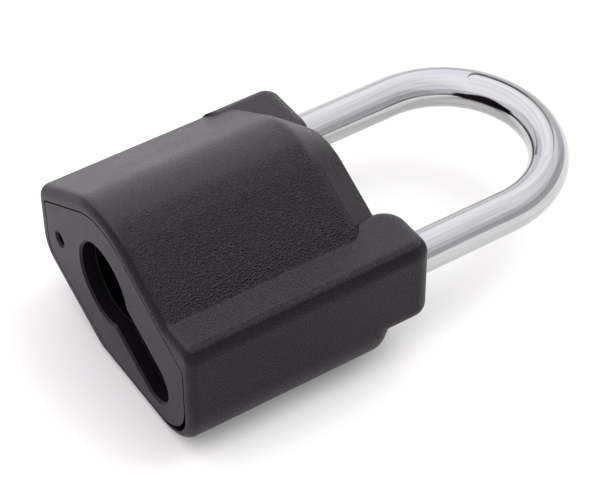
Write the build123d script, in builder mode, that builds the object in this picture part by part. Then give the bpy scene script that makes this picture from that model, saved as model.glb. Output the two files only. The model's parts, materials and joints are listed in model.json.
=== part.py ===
# Padlock for a Euro profile half cylinder: a plastic sleeve over a two-block steel lock core,
# a round steel shackle on its long heel leg, and a rotor that throws a bolt and a ball into the legs.
#
# Frame: +X runs from the end plate towards the top of the shackle, +Z up from the flat under the
# body, origin at the middle of the bottom of the bounding box. Sections are drawn square to X, in
# coordinates centred on the cylinder's axis: first Y, then Z.
from build123d import *

import os
from math import asin, cos, degrees, hypot, radians, sin, tan

os.makedirs("parts", exist_ok=True)

# ---- half cylinder seat (standard profile) ----
seat_r = 8.5
flange_width = 10.0
profile_height = 33.0
flange_run = profile_height - seat_r - flange_width / 2
seat_tilt = 28.8
seat_depth = 37.2
seat_bevel = 0.45
cam_reach = 15.2
cam_from = 22.0
cam_to = 32.5
cam_open = 45.0
window_to = 138.0
fixing_drop = 14.0
fixing_x = 27.0
fixing_hole_r = 2.75
fixing_head_r = 5.0
fixing_wall = 5.5

# ---- sleeve ----
hump_r = 17.6
near_wall = 31.0
far_wall = 24.9
base_depth = 20.0
under_r = 19.6
under_tilt = 26.5
shelf_top = 7.9
rim_round = 2.0
crease_x = 41.5
crease_round = 3.5
bevel_tilt = 37.0
sleeve_end = 48.9
end_round = 1.5
end_corner_r = 2.5
far_share = 0.3
corner_r = 3.0
top_corner_r = 3.6
valley_r = 3.0
under_corner_r = 7.0
foot_corner_r = 7.0
base_corner_r = 11.5

# ---- bosses around the shackle legs ----
boss_from = 36.0
boss_end = 52.2
boss_low = -10.9
boss_outer_r = 3.5
boss_low_round = 3.3
boss_inner_r = 5.0
toe_boss_in = -17.0
heel_boss_in = 7.6
heel_boss_step = 0.4
seal_from = 47.2
seal_to = 48.8
seal_r = 5.4

# ---- room inside the sleeve ----
room_crown_r = 15.1
room_crown_y = -0.45
room_far_tilt = 30.3
room_near = 28.4
room_far = 22.0
room_base = 17.9
room_under_r = 16.5
room_under_tilt = 26.0
room_crease_x = 41.5
room_end = 46.4
room_top_r = 1.5
room_foot_r = 5.0
room_far_low_r = 2.5
room_near_low_r = 8.0

# ---- shackle ----
bar_r = 4.1
leg_z = -1.8
toe_y = -23.4
heel_y = 16.8
toe_end = 35.0
heel_end = 8.2
arch_x = 74.9
lift = 17.5
leg_tip_bevel = 0.8
buffer_thick = 0.8
buffer_gap = 0.2
panel_from = -45.0
panel_to = 36.0
panel_tilt = 15.0
panel_width = 3.6
panel_depth = 0.3

# ---- lock core, end plate and their fastenings ----
plate_thick = 3.0
plate_gap = 0.3
plate_ease = 1.5
gasket_thick = 0.4
core_gap = 0.15
core_from = plate_thick + gasket_thick
joint_x = 38.7
core_end = 46.3
leg_fit = 0.08
leg_clearance = 0.35
drain_r = 1.4
retainer_x = 30.5
retainer_r = 1.5
retainer_length = 12.0
retainer_sink = 1.5
flat_depth = 1.5
groove_depth = 1.7
flat_end = 3.0
m3_r = 1.5
m3_head_r = 2.75
m3_head = 3.0
m3_key_r = 1.44
core_screw_bite = 8.0
cover_shank_r = 1.2
cover_head = 1.4
cover_key_r = 0.75
cover_screw_length = 7.0
countersink = 45.0
pin_r = 1.25
pin_from = 1.2
pin_to = 7.5
drill_pin_length = 12.0
drill_pin_orbit = 12.0
core_head_x = 43.4
core_screw_spots = [(-22.5, -10.6), (-8.0, -11.8), (7.5, -10.0), (11.3, 5.0)]
cover_screw_spots = [(-11.0, -6.0), (3.5, -10.6)]
plate_pin_spots = [(13.0, 7.0), (12.0, -9.0), (-4.0, -14.0), (-25.0, -3.0)]
drill_pin_turns = [60.0, 100.0, 140.0]
fit = 0.03

# ---- locking works ----
rotor_r = 8.65
rotor_bore_r = 8.72
rotor_end = 44.4
bore_end = 45.0
washer_thick = 0.5
washer_r = 6.5
spigot_r = 2.5
spigot_end = 45.9
arm_from = 37.5
arm_reach = 14.5
arm_width = 5.0
arm_turn = 65.0
driver_r = 2.0
driver_orbit = 12.0
driver_from = 24.0
throw = 2.3
throw_turn = 90.0
lock_x = 41.9
ball_r = 3.0
channel_r = 3.05
ball_rest = 9.4
pocket_r = 3.15
stop_gap = 0.35
seal_gap = 0.05

# ---- derived ----
pitch_r = (heel_y - toe_y) / 2
arch_y = (heel_y + toe_y) / 2
length = arch_x + pitch_r + bar_r
seat_at = Vector(-length / 2, (near_wall - far_wall) / 2, base_depth)
toe_orbit = hypot(toe_y, leg_z)
heel_orbit = hypot(heel_y, leg_z)
toe_turn = 180 + degrees(asin(-leg_z / toe_orbit))
heel_turn = -degrees(asin(-leg_z / heel_orbit))
driver = [(driver_orbit * cos(radians(arm_turn)), driver_orbit * sin(radians(arm_turn)))]
axle = [(0, 0)]
flat_to = retainer_x + retainer_r + plate_gap
arm_margin = degrees(asin((arm_width / 2 + stop_gap) / rotor_bore_r))
toe_floor = toe_end - buffer_gap - buffer_thick
heel_floor = heel_end - buffer_gap - buffer_thick
cover_head_r = cover_shank_r + cover_head
retainer_z = leg_z - bar_r + flat_depth - retainer_r - plate_gap
drill_pin_spots = [
    (drill_pin_orbit * cos(radians(turn)), drill_pin_orbit * sin(radians(turn)))
    for turn in drill_pin_turns
]
legs = [(toe_y, leg_z), (heel_y, leg_z)]
toe = legs[:1]
heel = legs[1:]
retainer_plane = Plane(
    origin=seat_at + Vector(retainer_x, room_far - core_gap - retainer_sink, retainer_z),
    x_dir=(1, 0, 0),
    z_dir=(0, 1, 0),
)


def station(x):
    """Plane square to X at x from the end plate's face, centred on the cylinder's axis."""
    return Plane(origin=(seat_at.X + x, seat_at.Y, seat_at.Z), x_dir=(0, 1, 0), z_dir=(1, 0, 0))


def outline(x, size, tilts, rounds, shelf=False):
    """Closed outline: a crown between two slopes, two walls, a flat foot and a sloped underside."""
    crown_y, crown_r, near, far, base, under = size
    near_lean, far_lean, rise = [radians(tilt) for tilt in tilts]
    crown = (crown_y, crown_r)
    near_tangent = (crown_y - crown_r * sin(near_lean), crown_r * cos(near_lean))
    far_tangent = (crown_y + crown_r * sin(far_lean), crown_r * cos(far_lean))
    far_top = (far, (crown_r - (far - crown_y) * sin(far_lean)) / cos(far_lean))
    far_low = (far, (far * sin(rise) - under) / cos(rise))
    foot = ((under - base * cos(rise)) / sin(rise), -base)
    near_low = (-near, -base)
    near_top = (-near, (crown_r - (near + crown_y) * sin(near_lean)) / cos(near_lean))
    near_side = [near_top]
    if shelf:
        near_top = (-near, shelf_top)
        valley = (crown_y - (crown_r - shelf_top * cos(near_lean)) / sin(near_lean), shelf_top)
        near_side = [valley, near_top]
    with BuildSketch(station(x)) as section:
        with BuildLine():
            ThreePointArc(far_tangent, crown, near_tangent)
            Polyline(near_tangent, *near_side, near_low, foot, far_low, far_top, far_tangent)
        make_face()
        spots = [near_top, far_top, foot, far_low, near_low]
        for spot, radius in zip(spots, rounds):
            fillet(section.vertices().sort_by_distance(spot)[0], radius)
        if shelf:
            fillet(section.vertices().sort_by_distance(valley)[0], valley_r)
    return section.sketch


def cut_back(reach, cut):
    """Distances of crown, near wall, far wall, base and underside in the bevelled end."""
    return [distance - cut * share for distance, share in zip(reach, (1, 1, far_share, 1, far_share))]


def body_section(x, shelf=False, cut=0.0):
    """Outside of the sleeve."""
    size = (0, *cut_back((hump_r, near_wall, far_wall, base_depth, under_r), cut))
    tilts = (seat_tilt, room_far_tilt, under_tilt)
    near_round = corner_r if shelf else top_corner_r
    rounds = (near_round, top_corner_r, foot_corner_r, under_corner_r, base_corner_r)
    return outline(x, size, tilts, [max(radius - cut, end_corner_r) for radius in rounds], shelf)


def room_section(x, gap=0.0, ease=0.0, cut=0.0):
    """Inside of the sleeve, or of what fits into it with a gap and with eased low corners."""
    reach = cut_back((room_crown_r, room_near, room_far, room_base, room_under_r), cut)
    size = (room_crown_y, *[distance - gap for distance in reach])
    tilts = (seat_tilt, room_far_tilt, room_under_tilt)
    low_rounds = (room_foot_r, room_far_low_r + ease, room_near_low_r + ease)
    return outline(x, size, tilts, (room_top_r, room_top_r, *low_rounds))


def bevelled_prism(x_from, x_to, gap):
    """Room section run along X, its far end bevelled all round."""
    cut = (x_to - room_crease_x) * tan(radians(bevel_tilt))
    extrude(room_section(x_from, gap), amount=room_crease_x - x_from)
    loft([room_section(room_crease_x, gap), room_section(x_to, gap, cut=cut)], ruled=True)


def cylinder_profile(x, grow=0.0):
    """Euro profile: a circle with a round-ended flange, leaning down towards -Y."""
    middle = -flange_run / 2
    with BuildSketch(station(x)) as profile:
        Circle(seat_r + grow)
        with Locations((middle * cos(radians(seat_tilt)), middle * sin(radians(seat_tilt)))):
            SlotCenterToCenter(flange_run, flange_width + 2 * grow, rotation=seat_tilt)
    return profile.sketch


def discs(x, spots, radius):
    """Circles of one radius at several places of one station."""
    with BuildSketch(station(x)) as field:
        with Locations(*spots):
            Circle(radius)
    return field.sketch


def rods(spots, radius, x_from, x_to):
    """Round bars along X, added to the part being built."""
    extrude(discs(x_from, spots, radius), amount=x_to - x_from)


def bores(spots, radius, x_from, x_to):
    """Round holes along X, cut from the part being built."""
    extrude(discs(x_from, spots, radius), amount=x_to - x_from, mode=Mode.SUBTRACT)


def sector(x, start, end, radius):
    """Pie slice about the cylinder's axis, in degrees from +Y towards +Z."""
    with BuildSketch(station(x)) as slice_face:
        with BuildLine():
            rim = CenterArc((0, 0), radius, start, end - start)
            Line((0, 0), rim @ 0)
            Line(rim @ 1, (0, 0))
        make_face()
    return slice_face.sketch


def boss_plan(inner, outer):
    """Plan of a boss around one leg, its two corners at the shackle end rounded."""
    middle = ((boss_from + boss_end) / 2, (inner + outer) / 2)
    with BuildSketch(Plane(seat_at + Vector(0, 0, boss_low))) as plan:
        with Locations(middle):
            Rectangle(boss_end - boss_from, abs(outer - inner))
        for side, radius in ((inner, boss_inner_r), (outer, boss_outer_r)):
            fillet(plan.vertices().sort_by_distance((boss_end, side))[0], radius)
    return plan.sketch


def channel_plane(turn, orbit, x=lock_x):
    """Plane square to a locking channel, at one distance from the rotor's axis."""
    out = (0, cos(radians(turn)), sin(radians(turn)))
    centre = seat_at + Vector(x, orbit * out[1], orbit * out[2])
    return Plane(origin=centre, x_dir=(1, 0, 0), z_dir=out)


def fixing_plane(depth):
    """Plane square to the cylinder's fixing screw, at one distance from the flange's middle."""
    lean = radians(seat_tilt)
    down = (0, sin(lean), -cos(lean))
    middle = seat_at + Vector(fixing_x, -fixing_drop * cos(lean), -fixing_drop * sin(lean))
    return Plane(origin=middle + Vector(*down) * depth, x_dir=(1, 0, 0), z_dir=down)


# ---- cover: moulded sleeve, closed at the shackle end, with a boss around each leg ----
with BuildPart() as shoulder:
    end_cut = (sleeve_end - crease_x) * tan(radians(bevel_tilt))
    extrude(body_section(crease_x - crease_round), amount=crease_round)
    loft([body_section(crease_x), body_section(sleeve_end, cut=end_cut)], ruled=True)
    crease_at = seat_at.X + crease_x
    fillet(shoulder.edges().filter_by_position(Axis.X, crease_at - fit, crease_at + fit), crease_round)
    fillet(shoulder.faces().sort_by(Axis.X)[-1].edges(), end_round)

with BuildPart() as toe_boss:
    extrude(boss_plan(toe_boss_in, -near_wall), amount=shelf_top - boss_low)
    fillet(toe_boss.faces().sort_by(Axis.Z)[-1].edges(), corner_r)
    fillet(toe_boss.faces().sort_by(Axis.Z)[0].edges(), boss_low_round)

with BuildPart() as heel_boss:
    extrude(boss_plan(heel_boss_in, far_wall - heel_boss_step), amount=shelf_top - boss_low)
    fillet(heel_boss.faces().sort_by(Axis.Z)[-1].edges(), corner_r)
    fillet(heel_boss.faces().sort_by(Axis.Z)[0].edges(), boss_low_round)

with BuildPart() as core_room:
    bevelled_prism(0, room_end, 0)

with BuildPart() as cover:
    extrude(body_section(0, shelf=True), amount=crease_x - crease_round / 2)
    fillet(cover.faces().sort_by(Axis.X)[0].edges(), rim_round)
    add(shoulder.part)
    add(toe_boss.part)
    add(heel_boss.part)
    add(core_room.part, mode=Mode.SUBTRACT)
    bores(legs, bar_r + leg_clearance, room_crease_x, boss_end)
    bores(legs, seal_r, seal_from, seal_to)
    cone_feet = discs(sleeve_end - cover_head, cover_screw_spots, cover_shank_r)
    extrude(cone_feet, amount=cover_head, taper=-countersink, mode=Mode.SUBTRACT)
    bores(cover_screw_spots, cover_shank_r + fit, room_end, sleeve_end)
    with BuildSketch(fixing_plane(flange_width)) as head_way:
        Circle(fixing_head_r + core_gap)
    extrude(amount=base_depth, mode=Mode.SUBTRACT)
cover.part.label = "cover"
export_step(cover.part, "parts/cover.step")

# ---- end plate and what lies behind it ----
with BuildPart() as end_plate:
    extrude(room_section(0, plate_gap, ease=plate_ease), amount=plate_thick)
    extrude(cylinder_profile(0), amount=plate_thick, mode=Mode.SUBTRACT)
    bores(heel, drain_r, 0, plate_thick)
    rims = end_plate.faces().sort_by(Axis.X)[0].inner_wires().edges()
    chamfer(rims, seat_bevel)
    bores(plate_pin_spots, pin_r + fit, pin_from, plate_thick)
end_plate.part.label = "end_plate"
export_step(end_plate.part, "parts/end_plate.step")

with BuildPart() as plate_gasket:
    extrude(room_section(plate_thick, 2 * plate_gap, ease=plate_ease), amount=gasket_thick)
    extrude(cylinder_profile(plate_thick, grow=plate_gap), amount=gasket_thick, mode=Mode.SUBTRACT)
    bores(heel, drain_r + plate_gap, plate_thick, core_from)
    bores(plate_pin_spots, pin_r + plate_gap, plate_thick, core_from)
plate_gasket.part.label = "plate_gasket"
export_step(plate_gasket.part, "parts/plate_gasket.step")

with BuildPart() as plate_pins:
    rods(plate_pin_spots, pin_r, pin_from + fit, pin_to - fit)
plate_pins.part.label = "plate_pins"
export_step(plate_pins.part, "parts/plate_pins.step")

# ---- front block of the core: cylinder seat, cam chamber, leg holes ----
with BuildPart() as core_front:
    extrude(room_section(core_from, core_gap), amount=joint_x - core_from)
    extrude(cylinder_profile(core_from), amount=seat_depth - core_from, mode=Mode.SUBTRACT)
    cam_room = sector(cam_from, cam_open, 180 + seat_tilt, cam_reach)
    extrude(cam_room, amount=cam_to - cam_from, mode=Mode.SUBTRACT)
    arm_room = sector(cam_to, arm_turn - arm_margin, arm_turn + throw_turn + arm_margin, cam_reach)
    extrude(arm_room, amount=joint_x - cam_to, mode=Mode.SUBTRACT)
    roof_window = sector(cam_from, arm_turn - arm_margin, window_to, hump_r)
    extrude(roof_window, amount=joint_x - cam_from, mode=Mode.SUBTRACT)
    bores(axle, rotor_bore_r, seat_depth, joint_x)
    bores(heel, bar_r + leg_fit, heel_floor - fit, joint_x)
    bores(heel, drain_r, core_from, heel_end)
    bores(toe, bar_r + leg_fit, toe_floor - fit, joint_x)
    bores(plate_pin_spots, pin_r + fit, core_from, pin_to)
    bores(drill_pin_spots, pin_r + fit, core_from, core_from + drill_pin_length)
    bores(core_screw_spots, m3_r + fit, joint_x - core_screw_bite - fit, joint_x)
    with BuildSketch(retainer_plane.offset(retainer_sink)):
        Circle(retainer_r + fit)
    extrude(amount=-retainer_sink - retainer_length - fit, mode=Mode.SUBTRACT)
    with BuildSketch(fixing_plane(0)):
        Circle(fixing_hole_r)
    extrude(amount=base_depth, mode=Mode.SUBTRACT)
    with BuildSketch(fixing_plane(flange_width / 2 + fixing_wall)):
        Circle(fixing_head_r)
    extrude(amount=base_depth, mode=Mode.SUBTRACT)
core_front.part.label = "core_front"
export_step(core_front.part, "parts/core_front.step")

# ---- rear block of the core: rotor bore, locking channels, leg holes ----
with BuildPart() as core_rear:
    bevelled_prism(joint_x, core_end, core_gap)
    bores(axle, rotor_bore_r, joint_x, bore_end)
    bores(axle, spigot_r + leg_fit, bore_end, core_end)
    bores(legs, bar_r + leg_fit, joint_x, core_end)
    bores(core_screw_spots, m3_r + fit, joint_x, core_end)
    bores(core_screw_spots, m3_head_r + fit, core_head_x - m3_head - fit, core_end)
    bores(cover_screw_spots, cover_shank_r + fit, joint_x, core_end)
    with BuildSketch(channel_plane(toe_turn, 0)):
        Circle(channel_r)
    extrude(amount=toe_orbit, mode=Mode.SUBTRACT)
    with BuildSketch(channel_plane(heel_turn, 0)):
        Circle(channel_r)
    extrude(amount=heel_orbit, mode=Mode.SUBTRACT)
core_rear.part.label = "core_rear"
export_step(core_rear.part, "parts/core_rear.step")

with BuildPart() as core_screws:
    rods(core_screw_spots, m3_r, joint_x - core_screw_bite, core_head_x - m3_head)
    rods(core_screw_spots, m3_head_r, core_head_x - m3_head, core_head_x)
    with BuildSketch(station(core_head_x)):
        with Locations(*core_screw_spots):
            RegularPolygon(m3_key_r, 6)
    extrude(amount=-m3_head / 2, mode=Mode.SUBTRACT)
core_screws.part.label = "core_screws"
export_step(core_screws.part, "parts/core_screws.step")

with BuildPart() as cover_screws:
    cone_feet = discs(sleeve_end - cover_head, cover_screw_spots, cover_shank_r - fit)
    extrude(cone_feet, amount=cover_head - fit, taper=-countersink)
    rods(cover_screw_spots, cover_shank_r, sleeve_end - cover_screw_length, sleeve_end - cover_head)
    with BuildSketch(station(sleeve_end - fit)):
        with Locations(*cover_screw_spots):
            RegularPolygon(cover_key_r, 6)
    extrude(amount=-cover_head / 2, mode=Mode.SUBTRACT)
cover_screws.part.label = "cover_screws"
export_step(cover_screws.part, "parts/cover_screws.step")

with BuildPart() as anti_drill_pins:
    rods(drill_pin_spots, pin_r, core_from + fit, core_from + drill_pin_length - fit)
anti_drill_pins.part.label = "anti_drill_pins"
export_step(anti_drill_pins.part, "parts/anti_drill_pins.step")

with BuildPart() as shackle_retaining_pin:
    with BuildSketch(retainer_plane):
        Circle(retainer_r)
    extrude(amount=-retainer_length)
shackle_retaining_pin.part.label = "shackle_retaining_pin"
export_step(shackle_retaining_pin.part, "parts/shackle_retaining_pin.step")

# ---- locking works: rotor with its arm and cam pockets, bolt, ball and friction washer ----
def pocket_point(leg_turn, turn):
    """Where the bolt's or ball's centre lies, seen from the rotor, once it has turned."""
    orbit = ball_rest + throw * turn / throw_turn
    angle = radians(leg_turn - turn)
    return (orbit * cos(angle), orbit * sin(angle))


with BuildPart() as rotor:
    rods(axle, rotor_r, joint_x, rotor_end)
    rods(axle, spigot_r, rotor_end, spigot_end)
    for leg_turn in (toe_turn, heel_turn):
        turns = (0, throw_turn / 2, throw_turn)
        pocket_line = ThreePointArc(*[pocket_point(leg_turn, turn) for turn in turns])
        with BuildSketch(station(joint_x)):
            SlotArc(pocket_line, 2 * pocket_r)
        extrude(amount=rotor_end - joint_x, mode=Mode.SUBTRACT)
    with BuildSketch(station(arm_from)):
        Circle(rotor_r)
        with Locations(Location((0, 0), arm_turn)):
            Rectangle(arm_reach, arm_width, align=(Align.MIN, Align.CENTER))
    extrude(amount=joint_x - arm_from)
    bores(driver, driver_r, arm_from, joint_x)
rotor.part.label = "rotor"
export_step(rotor.part, "parts/rotor.step")

with BuildPart() as driver_pin:
    rods(driver, driver_r, driver_from, joint_x)
    chamfer(driver_pin.faces().sort_by(Axis.X)[0].edges(), seat_bevel)
driver_pin.part.label = "driver_pin"
export_step(driver_pin.part, "parts/driver_pin.step")

with BuildPart() as rotor_friction_washer:
    rods(axle, washer_r, bore_end - fit - washer_thick, bore_end - fit)
    bores(axle, spigot_r + leg_fit, rotor_end, bore_end)
rotor_friction_washer.part.label = "rotor_friction_washer"
export_step(rotor_friction_washer.part, "parts/rotor_friction_washer.step")

with BuildPart() as toe_locking_bolt:
    with BuildSketch(channel_plane(toe_turn, ball_rest)):
        Circle(ball_r)
    extrude(amount=toe_orbit - bar_r - stop_gap - ball_rest)
    chamfer(toe_locking_bolt.faces().sort_by(Axis.Y)[0].edges(), seat_bevel)
    with Locations(channel_plane(toe_turn, ball_rest)):
        Sphere(ball_r)
toe_locking_bolt.part.label = "toe_locking_bolt"
export_step(toe_locking_bolt.part, "parts/toe_locking_bolt.step")

with BuildPart() as heel_locking_ball:
    with Locations(channel_plane(heel_turn, ball_rest)):
        Sphere(ball_r)
heel_locking_ball.part.label = "heel_locking_ball"
export_step(heel_locking_ball.part, "parts/heel_locking_ball.step")

# ---- shackle: bent round bar with lock notches, retaining groove and a sunk panel on the bend ----
bend_axis = Axis(seat_at + Vector(arch_x, arch_y, leg_z), (0, 0, 1))


def bend_plane(turn):
    """Plane across the bend, at an angle from +X towards +Y; x outwards, y upwards."""
    out = (cos(radians(turn)), sin(radians(turn)), 0)
    centre = bend_axis.position + Vector(*out) * pitch_r
    return Plane(origin=centre, x_dir=out, z_dir=(out[1], -out[0], 0))


with BuildPart() as panel:
    with BuildSketch(bend_plane(panel_from)):
        with Locations(Location((0, 0), panel_tilt)):
            Rectangle(panel_width, 2 * bar_r, align=(Align.CENTER, Align.MIN))
    revolve(axis=bend_axis, revolution_arc=panel_to - panel_from)
    for turn in (panel_from, panel_to):
        section = bend_plane(turn)
        out = section.y_dir.rotate(Axis((0, 0, 0), section.z_dir), panel_tilt)
        with BuildSketch(Plane(origin=section.origin, z_dir=out)):
            Circle(panel_width / 2)
        extrude(amount=2 * bar_r)
    with Locations(bend_axis.position):
        Torus(pitch_r, bar_r - panel_depth, mode=Mode.SUBTRACT)

with BuildPart() as shackle:
    with BuildLine(Plane(seat_at + Vector(0, 0, leg_z))):
        heel_leg = Line((heel_end, heel_y), (arch_x, heel_y))
        bend = CenterArc((arch_x, arch_y), pitch_r, 90, -180)
        Line(bend @ 1, (toe_end, toe_y))
    sweep(discs(heel_end, heel, bar_r))
    tips = shackle.faces().filter_by(GeomType.PLANE).filter_by(Axis.X)
    chamfer(tips.edges(), leg_tip_bevel)
    notches = [
        (toe_turn, toe_orbit, lock_x),
        (heel_turn, heel_orbit, lock_x),
        (heel_turn, heel_orbit, lock_x - lift),
    ]
    for turn, orbit, notch_x in notches:
        with BuildSketch(channel_plane(turn, orbit - 2 * bar_r, notch_x)):
            Circle(channel_r + stop_gap)
        extrude(amount=bar_r + throw, mode=Mode.SUBTRACT)
    with BuildSketch(station(heel_end + flat_end)):
        with Locations((heel_y, leg_z - bar_r)):
            Rectangle(2 * bar_r, 2 * flat_depth)
    extrude(amount=flat_to - heel_end - flat_end, mode=Mode.SUBTRACT)
    with BuildSketch(station(heel_end + flat_end)):
        with Locations(*heel):
            Circle(2 * bar_r)
            Circle(bar_r - groove_depth, mode=Mode.SUBTRACT)
    extrude(amount=2 * (retainer_r + plate_gap), mode=Mode.SUBTRACT)
    add(panel.part, mode=Mode.SUBTRACT)
shackle.part.label = "shackle"
export_step(shackle.part, "parts/shackle.step")

# ---- seals in the bosses and buffers under the leg ends ----
with BuildPart() as toe_shackle_seal:
    rods(toe, seal_r - fit, seal_from + fit, seal_to - fit)
    bores(toe, bar_r + seal_gap, seal_from, seal_to)
toe_shackle_seal.part.label = "toe_shackle_seal"
export_step(toe_shackle_seal.part, "parts/toe_shackle_seal.step")

with BuildPart() as heel_shackle_seal:
    rods(heel, seal_r - fit, seal_from + fit, seal_to - fit)
    bores(heel, bar_r + seal_gap, seal_from, seal_to)
heel_shackle_seal.part.label = "heel_shackle_seal"
export_step(heel_shackle_seal.part, "parts/heel_shackle_seal.step")

with BuildPart() as toe_buffer:
    rods(toe, bar_r - buffer_gap, toe_floor, toe_floor + buffer_thick)
toe_buffer.part.label = "toe_buffer"
export_step(toe_buffer.part, "parts/toe_buffer.step")

with BuildPart() as heel_buffer:
    rods(heel, bar_r - buffer_gap, heel_floor, heel_floor + buffer_thick)
    bores(heel, drain_r, heel_floor, heel_floor + buffer_thick)
heel_buffer.part.label = "heel_buffer"
export_step(heel_buffer.part, "parts/heel_buffer.step")
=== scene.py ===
# Looks of the padlock: materials for every CAD node, floor, light and camera.
import json
import math

import bpy
from mathutils import Matrix, Vector


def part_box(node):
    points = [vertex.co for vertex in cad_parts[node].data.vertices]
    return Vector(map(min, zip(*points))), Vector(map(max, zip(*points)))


MM = 0.001

# ---- surfaces ----
PATTERN_LOW = 0.3  # a noise mostly stays between these two
PATTERN_HIGH = 0.7
PEBBLED_SLOPE = (0.0, -0.482, 0.876)  # the way that the slope over the near wall faces

# ---- floor, in metres ----
FLOOR_HALF = 1.5
FLOOR_GAP = 0.02 * MM
PAPER_ROUGHNESS = 0.9
PAPER_GLOW = 0.07

# ---- tent ----
BRIGHT_WALL = (-0.6, 0.7, 0.4)  # the way to the brightest wall, past the end plate's far edge
# place and brightness, from the wall opposite, 0, to the brightest, 1
TENT_PANELS = (
    (0.0, 1.06),
    (0.28, 1.06),
    (0.33, 1.4),
    (0.5, 1.5),
    (0.515, 1.3),
    (0.53, 1.5),
    (0.7, 1.8),
    (1.0, 1.8),
)
# place and brightness, from level, 0, to straight up, 1
TENT_SEAMS = (
    (0.0, 0.8),
    (0.2, 0.68),
    (0.4, 0.68),
    (0.43, 0.7),
    (0.46, 0.95),
    (0.6, 1.0),
    (0.62, 0.85),
    (0.64, 1.0),
)

# ---- soft box, in metres and watts ----
SOFT_BOX_PLACE = (0.5, -0.1, 0.8)
SOFT_BOX_SIZE = 0.6
SOFT_BOX_WATTS = 4.0

# ---- camera ----
CAMERA_AZIMUTH = math.radians(-32.7)
CAMERA_TILT = math.radians(43.84)
CAMERA_ROLL = math.radians(-0.58)
CAMERA_PLACE = Vector((-174.66, -258.66, 307.32)) * MM
LENS_MM = 133.3
SENSOR_MM = 36
CLIP_NEAR = 0.01
CLIP_FAR = 20

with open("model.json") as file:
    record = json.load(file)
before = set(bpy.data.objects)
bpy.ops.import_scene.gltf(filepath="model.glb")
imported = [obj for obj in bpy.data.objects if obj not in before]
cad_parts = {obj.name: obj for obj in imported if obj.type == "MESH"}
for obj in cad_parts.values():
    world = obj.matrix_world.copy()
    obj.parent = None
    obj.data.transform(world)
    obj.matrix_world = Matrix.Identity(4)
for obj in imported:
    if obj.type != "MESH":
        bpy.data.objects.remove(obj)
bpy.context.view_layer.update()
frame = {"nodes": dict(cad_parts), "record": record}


# ---- helpers ----
def linear(code):
    """sRGB hex colour as linear RGBA."""
    parts = [int(code[i : i + 2], 16) / 255 for i in (1, 3, 5)]
    return [c / 12.92 if c <= 0.04045 else ((c + 0.055) / 1.055) ** 2.4 for c in parts] + [1.0]


def add_node(tree, kind, settings=None, links=None, values=None):
    """One shader node: its settings, its sockets' values and the links into it."""
    made = tree.nodes.new(kind)
    for name, value in (settings or {}).items():
        setattr(made, name, value)
    for name, value in (values or {}).items():
        made.inputs[name].default_value = value
    for name, source in (links or {}).items():
        tree.links.new(source, made.inputs[name])
    return made


def blank_material(name):
    """A material with no nodes yet but the object's own coordinates, in metres."""
    made = bpy.data.materials.new(name)
    made.use_nodes = True
    tree = made.node_tree
    tree.nodes.clear()
    place = add_node(tree, "ShaderNodeTexCoord").outputs["Object"]
    return made, tree, place


def surface_finish(tree, pattern, colours, roughness, links=None, values=None):
    """Shader and output: one pattern takes colour and roughness from one end to the other."""
    colour = add_node(
        tree,
        "ShaderNodeMix",
        {"data_type": "RGBA"},
        {"Factor": pattern},
        {"A": linear(colours[0]), "B": linear(colours[1])},
    ).outputs["Result"]
    rough = add_node(
        tree,
        "ShaderNodeMapRange",
        {"clamp": True},
        {"Value": pattern},
        {"From Min": PATTERN_LOW, "From Max": PATTERN_HIGH, "To Min": roughness[0], "To Max": roughness[1]},
    ).outputs["Result"]
    shader = add_node(
        tree,
        "ShaderNodeBsdfPrincipled",
        links={"Base Color": colour, "Roughness": rough, **(links or {})},
        values=values,
    ).outputs["BSDF"]
    add_node(tree, "ShaderNodeOutputMaterial", links={"Surface": shader})


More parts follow.
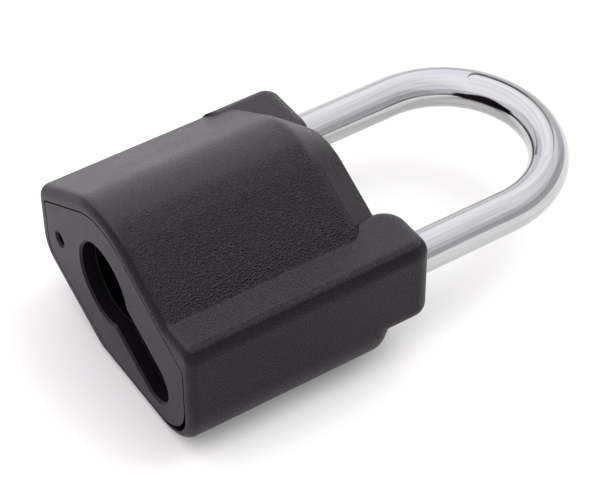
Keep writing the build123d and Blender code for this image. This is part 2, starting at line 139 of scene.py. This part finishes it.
def grained_nylon():
    """Glass-filled nylon, moulded black in a spark-eroded tool.

    Dull and nearly black with a violet cast. Pebbles a third of a millimetre wide cover the slope
    over the near wall, and a finer grain the rest. Faces that look up reflect strongly, a painted
    highlight, and the steeper faces weakly, a painted shade.
    """
    pebble = 0.36 * MM
    pebble_softness = 0.35
    slope_starts = 0.92
    slope_full = 0.995
    pebbles_elsewhere = 0.15
    spark = 0.26 * MM
    spark_share = 0.35
    relief = 0.85 * MM  # far deeper than real, so that the grain shows
    flow_length = 12.0 * MM
    top_starts = 0.74
    top_full = 0.93
    # painted light: the reflection level on steep faces, a painted shade, and on faces that look up, a
    # painted highlight
    side_painted_shade = 0.2
    top_painted_highlight = 0.74
    made, tree, place = blank_material("grained_nylon")
    facing = add_node(tree, "ShaderNodeNewGeometry").outputs["Normal"]
    leaning = add_node(
        tree,
        "ShaderNodeVectorMath",
        {"operation": "DOT_PRODUCT"},
        {0: facing},
        {1: PEBBLED_SLOPE},
    ).outputs["Value"]
    coarseness = add_node(
        tree,
        "ShaderNodeMapRange",
        {"clamp": True, "interpolation_type": "SMOOTHSTEP"},
        {"Value": leaning},
        {"From Min": slope_starts, "From Max": slope_full, "To Min": pebbles_elsewhere, "To Max": 1.0},
    ).outputs["Result"]
    pebbles = add_node(
        tree,
        "ShaderNodeTexVoronoi",
        {"feature": "SMOOTH_F1"},
        {"Vector": place},
        {"Scale": 1 / pebble, "Smoothness": pebble_softness, "Randomness": 1.0},
    ).outputs["Distance"]
    raised = add_node(
        tree,
        "ShaderNodeMath",
        {"operation": "MULTIPLY"},
        {0: pebbles, 1: coarseness},
    ).outputs["Value"]
    sparks = add_node(
        tree,
        "ShaderNodeTexNoise",
        links={"Vector": place},
        values={"Scale": 1 / spark, "Detail": 2.0, "Roughness": 0.5},
    ).outputs["Fac"]
    skin = add_node(
        tree,
        "ShaderNodeMath",
        {"operation": "MULTIPLY_ADD"},
        {0: sparks, 2: raised},
        {1: spark_share},
    ).outputs["Value"]
    bump = add_node(
        tree,
        "ShaderNodeBump",
        links={"Height": skin},
        values={"Strength": 1.0, "Distance": relief},
    ).outputs["Normal"]
    flow = add_node(
        tree,
        "ShaderNodeTexNoise",
        links={"Vector": place},
        values={"Scale": 1 / flow_length, "Detail": 3.0},
    ).outputs["Fac"]
    # Painted highlight and shade: the reflection is strong on faces that look up and weak on the steep
    # ones.
    upward = add_node(tree, "ShaderNodeSeparateXYZ", links={"Vector": facing}).outputs["Z"]
    painted_sheen_and_shade = add_node(
        tree,
        "ShaderNodeMapRange",
        {"clamp": True, "interpolation_type": "SMOOTHSTEP"},
        {"Value": upward},
        {"From Min": top_starts, "From Max": top_full, "To Min": side_painted_shade, "To Max": top_painted_highlight},
    ).outputs["Result"]
    surface_finish(
        tree,
        flow,
        ("#100a11", "#140d15"),
        (0.30, 0.36),
        {"Normal": bump, "Specular IOR Level": painted_sheen_and_shade},
        {"IOR": 1.42, "Specular Tint": linear("#f9eafa")},
    )
    return made


def powder_coated_steel():
    """Steel plate, stamped and powder coated black.

    The coat flows into a tight orange peel, so it looks smoother and a shade greyer than the
    moulding round it. The walls of the punched holes reflect nothing, a painted shade that keeps
    them dead black.
    """
    peel_width = 0.4 * MM
    relief = 0.12 * MM  # deeper than real, so that the peel shows
    cloud_length = 9.0 * MM
    # painted shade: facings from a hole wall to the plate's face, over which the reflection grows from none
    # to the face's level
    hole_wall = -0.3
    plate_face = -0.6
    face_gloss = 0.25
    made, tree, place = blank_material("powder_coated_steel")
    peel = add_node(
        tree,
        "ShaderNodeTexNoise",
        links={"Vector": place},
        values={"Scale": 1 / peel_width, "Detail": 2.0, "Roughness": 0.5},
    ).outputs["Fac"]
    bump = add_node(
        tree,
        "ShaderNodeBump",
        links={"Height": peel},
        values={"Strength": 1.0, "Distance": relief},
    ).outputs["Normal"]
    cloud = add_node(
        tree,
        "ShaderNodeTexNoise",
        links={"Vector": place},
        values={"Scale": 1 / cloud_length, "Detail": 3.0},
    ).outputs["Fac"]
    facing = add_node(tree, "ShaderNodeNewGeometry").outputs["Normal"]
    outward = add_node(tree, "ShaderNodeSeparateXYZ", links={"Vector": facing}).outputs["X"]
    # Painted shade: faces that don't look out of the end plate, the hole walls among them, reflect nothing
    # and stay dead black.
    painted_hole_shade = add_node(
        tree,
        "ShaderNodeMapRange",
        {"clamp": True},
        {"Value": outward},
        {"From Min": hole_wall, "From Max": plate_face, "To Min": 0.0, "To Max": face_gloss},
    ).outputs["Result"]
    surface_finish(
        tree,
        cloud,
        ("#120f14", "#171319"),
        (0.36, 0.42),
        {"Normal": bump, "Specular IOR Level": painted_hole_shade},
        {"IOR": 1.35, "Specular Tint": linear("#f7edff")},
    )
    return made


def polished_chrome(bend_x, bend_y):
    """Hardened steel bar, bent, polished and chrome plated.

    A mirror with faint polishing lines that follow the bar round its bend, and a slow ripple left
    by the bending.
    """
    ripple_length = 6.0 * MM
    ripple_depth = 0.08 * MM
    ripple_strength = 0.3
    line_width = 0.5 * MM  # coarser than real polishing lines, which are too fine to show
    stretch = 0.03
    made, tree, place = blank_material("polished_chrome")
    ripple = add_node(
        tree,
        "ShaderNodeTexNoise",
        links={"Vector": place},
        values={"Scale": 1 / ripple_length, "Detail": 1.0},
    ).outputs["Fac"]
    bump = add_node(
        tree,
        "ShaderNodeBump",
        links={"Height": ripple},
        values={"Strength": ripple_strength, "Distance": ripple_depth},
    ).outputs["Normal"]
    axes = add_node(tree, "ShaderNodeSeparateXYZ", links={"Vector": place}).outputs
    past_bend = add_node(
        tree,
        "ShaderNodeMath",
        {"operation": "SUBTRACT"},
        {0: axes["X"]},
        {1: bend_x},
    ).outputs["Value"]
    round_bend = add_node(
        tree,
        "ShaderNodeMath",
        {"operation": "MAXIMUM"},
        {0: past_bend},
        {1: 0.0},
    ).outputs["Value"]
    off_middle = add_node(
        tree,
        "ShaderNodeMath",
        {"operation": "SUBTRACT"},
        {0: axes["Y"]},
        {1: bend_y},
    ).outputs["Value"]
    spoke = add_node(
        tree,
        "ShaderNodeCombineXYZ",
        links={"X": round_bend, "Y": off_middle},
    ).outputs["Vector"]
    across = add_node(tree, "ShaderNodeVectorMath", {"operation": "LENGTH"}, {0: spoke}).outputs["Value"]
    along = add_node(
        tree,
        "ShaderNodeMath",
        {"operation": "MULTIPLY"},
        {0: axes["X"]},
        {1: stretch},
    ).outputs["Value"]
    drawn = add_node(
        tree,
        "ShaderNodeCombineXYZ",
        links={"X": along, "Y": across, "Z": axes["Z"]},
    ).outputs["Vector"]
    lines = add_node(
        tree,
        "ShaderNodeTexNoise",
        links={"Vector": drawn},
        values={"Scale": 1 / line_width, "Detail": 3.0},
    ).outputs["Fac"]
    surface_finish(
        tree,
        lines,
        ("#9fa0a0", "#c2c3c2"),
        (0.05, 0.11),
        {"Normal": bump},
        {"Metallic": 1.0},
    )
    return made


def steel(name, colours, edge, roughness, grain):
    """Bare or blackened steel, milled or ground: metal with a fine grain along the lock.

    Edge is its colour at a low angle. The grain is coarser than the real marks, which are too fine
    to show.
    """
    stretch = 0.2
    relief = 0.02 * MM
    relief_strength = 0.3
    made, tree, place = blank_material(name)
    along = add_node(
        tree,
        "ShaderNodeMapping",
        links={"Vector": place},
        values={"Scale": (stretch, 1.0, 1.0)},
    ).outputs["Vector"]
    marks = add_node(
        tree,
        "ShaderNodeTexNoise",
        links={"Vector": along},
        values={"Scale": 1 / grain, "Detail": 3.0},
    ).outputs["Fac"]
    bump = add_node(
        tree,
        "ShaderNodeBump",
        links={"Height": marks},
        values={"Strength": relief_strength, "Distance": relief},
    ).outputs["Normal"]
    surface_finish(
        tree,
        marks,
        colours,
        roughness,
        {"Normal": bump},
        {"Metallic": 1.0, "Specular Tint": linear(edge)},
    )
    return made


def moulded_rubber():
    """Nitrile rubber, compression moulded: matt black with a faint bloom."""
    bloom_width = 1.0 * MM
    made, tree, place = blank_material("moulded_rubber")
    bloom = add_node(
        tree,
        "ShaderNodeTexNoise",
        links={"Vector": place},
        values={"Scale": 1 / bloom_width, "Detail": 3.0},
    ).outputs["Fac"]
    surface_finish(tree, bloom, ("#131313", "#1c1b1b"), (0.65, 0.8), values={"IOR": 1.52})
    return made


# ---- materials on the CAD nodes ----
shackle_low, shackle_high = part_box("shackle")
bend_r = (shackle_high.y - shackle_low.y) / 2
by_slot = {
    "sleeve": grained_nylon(),
    "plate": powder_coated_steel(),
    "shackle_steel": polished_chrome(shackle_high.x - bend_r, shackle_low.y + bend_r),
    # the core is near black all over
    "core_steel": steel("near_black_steel", ("#080809", "#0c0c0d"), "#202020", (0.6, 0.75), 0.5 * MM),
    "hard_steel": steel("ground_steel", ("#77757a", "#8d8b90"), "#ffffff", (0.25, 0.38), 0.3 * MM),
    "screw_steel": steel("black_oxide_steel", ("#1b1b1d", "#252528"), "#808080", (0.4, 0.55), 0.3 * MM),
    "seal_rubber": moulded_rubber(),
}
for part in frame["record"]["subparts"]:
    slots = frame["nodes"][part["node"]].data.materials
    slots.clear()
    slots.append(by_slot[part["material_slot"]])

# ---- floor ----
floor_mesh = bpy.data.meshes.new("floor")
signs = ((-1, -1), (1, -1), (1, 1), (-1, 1))
corners = [(x * FLOOR_HALF, y * FLOOR_HALF, -FLOOR_GAP) for x, y in signs]
floor_mesh.from_pydata(corners, [], [(0, 1, 2, 3)])
floor = bpy.data.objects.new("floor", floor_mesh)
bpy.context.scene.collection.objects.link(floor)
paper, paper_tree = blank_material("white_paper")[:2]
sheet = add_node(
    paper_tree,
    "ShaderNodeBsdfPrincipled",
    values={
        "Base Color": linear("#e2e3dd"),
        "Roughness": PAPER_ROUGHNESS,
        "Specular IOR Level": 0.0,
        "Emission Color": linear("#ffffff"),
        "Emission Strength": PAPER_GLOW,
    },
).outputs["BSDF"]
add_node(paper_tree, "ShaderNodeOutputMaterial", links={"Surface": sheet})
floor_mesh.materials.append(paper)

# ---- light: a white tent, brightest past the end plate's far edge, and a soft box over the shackle ----
world = bpy.data.worlds.new("studio")
bpy.context.scene.world = world
world.use_nodes = True
tent = world.node_tree
tent.nodes.clear()
outwards = add_node(tent, "ShaderNodeTexCoord").outputs["Generated"]
towards_bright = add_node(
    tent,
    "ShaderNodeVectorMath",
    {"operation": "DOT_PRODUCT"},
    {0: outwards},
    {1: BRIGHT_WALL},
).outputs["Value"]
# -1 to 1 becomes 0 to 1
turned = add_node(
    tent,
    "ShaderNodeMath",
    {"operation": "MULTIPLY_ADD"},
    {0: towards_bright},
    {1: 0.5, 2: 0.5},
).outputs["Value"]
height = add_node(tent, "ShaderNodeSeparateXYZ", links={"Vector": outwards}).outputs["Z"]
cloth = []
for across, levels in ((turned, TENT_PANELS), (height, TENT_SEAMS)):
    ramp = add_node(tent, "ShaderNodeValToRGB", links={"Fac": across})
    stops = ramp.color_ramp.elements
    for spare in list(stops)[1:]:
        stops.remove(spare)
    for number, (level, light) in enumerate(levels):
        stop = stops[0] if number == 0 else stops.new(level)
        stop.position = level
        stop.color = (light, light, light, 1.0)
    cloth.append(ramp.outputs["Color"])
shine = add_node(
    tent,
    "ShaderNodeMath",
    {"operation": "MULTIPLY"},
    {0: cloth[0], 1: cloth[1]},
).outputs["Value"]
tent_light = add_node(
    tent,
    "ShaderNodeBackground",
    links={"Strength": shine},
    values={"Color": linear("#faf6ff")},
).outputs["Background"]
add_node(tent, "ShaderNodeOutputWorld", links={"Surface": tent_light})

soft_box = bpy.data.lights.new("soft_box", "AREA")
soft_box.shape = "SQUARE"
soft_box.size = SOFT_BOX_SIZE
soft_box.energy = SOFT_BOX_WATTS
lamp = bpy.data.objects.new("soft_box", soft_box)
lamp.location = SOFT_BOX_PLACE
lamp.rotation_mode = "QUATERNION"
lamp.rotation_quaternion = (-Vector(SOFT_BOX_PLACE)).to_track_quat("-Z", "Y")
lamp.visible_glossy = False
bpy.context.scene.collection.objects.link(lamp)

# ---- camera ----
back = Vector(
    (
        math.sin(CAMERA_AZIMUTH) * math.cos(CAMERA_TILT),
        -math.cos(CAMERA_AZIMUTH) * math.cos(CAMERA_TILT),
        math.sin(CAMERA_TILT),
    )
)
level_view = (-back).to_track_quat("-Z", "Y")
lens = bpy.data.cameras.new("camera")
lens.lens = LENS_MM
lens.sensor_width = SENSOR_MM
lens.clip_start = CLIP_NEAR
lens.clip_end = CLIP_FAR
camera = bpy.data.objects.new("camera", lens)
camera.location = CAMERA_PLACE
camera.rotation_mode = "QUATERNION"
camera.rotation_quaternion = level_view @ Matrix.Rotation(CAMERA_ROLL, 3, "Z").to_quaternion()
bpy.context.scene.collection.objects.link(camera)
bpy.context.scene.camera = camera
bpy.context.scene.view_settings.view_transform = "Standard"
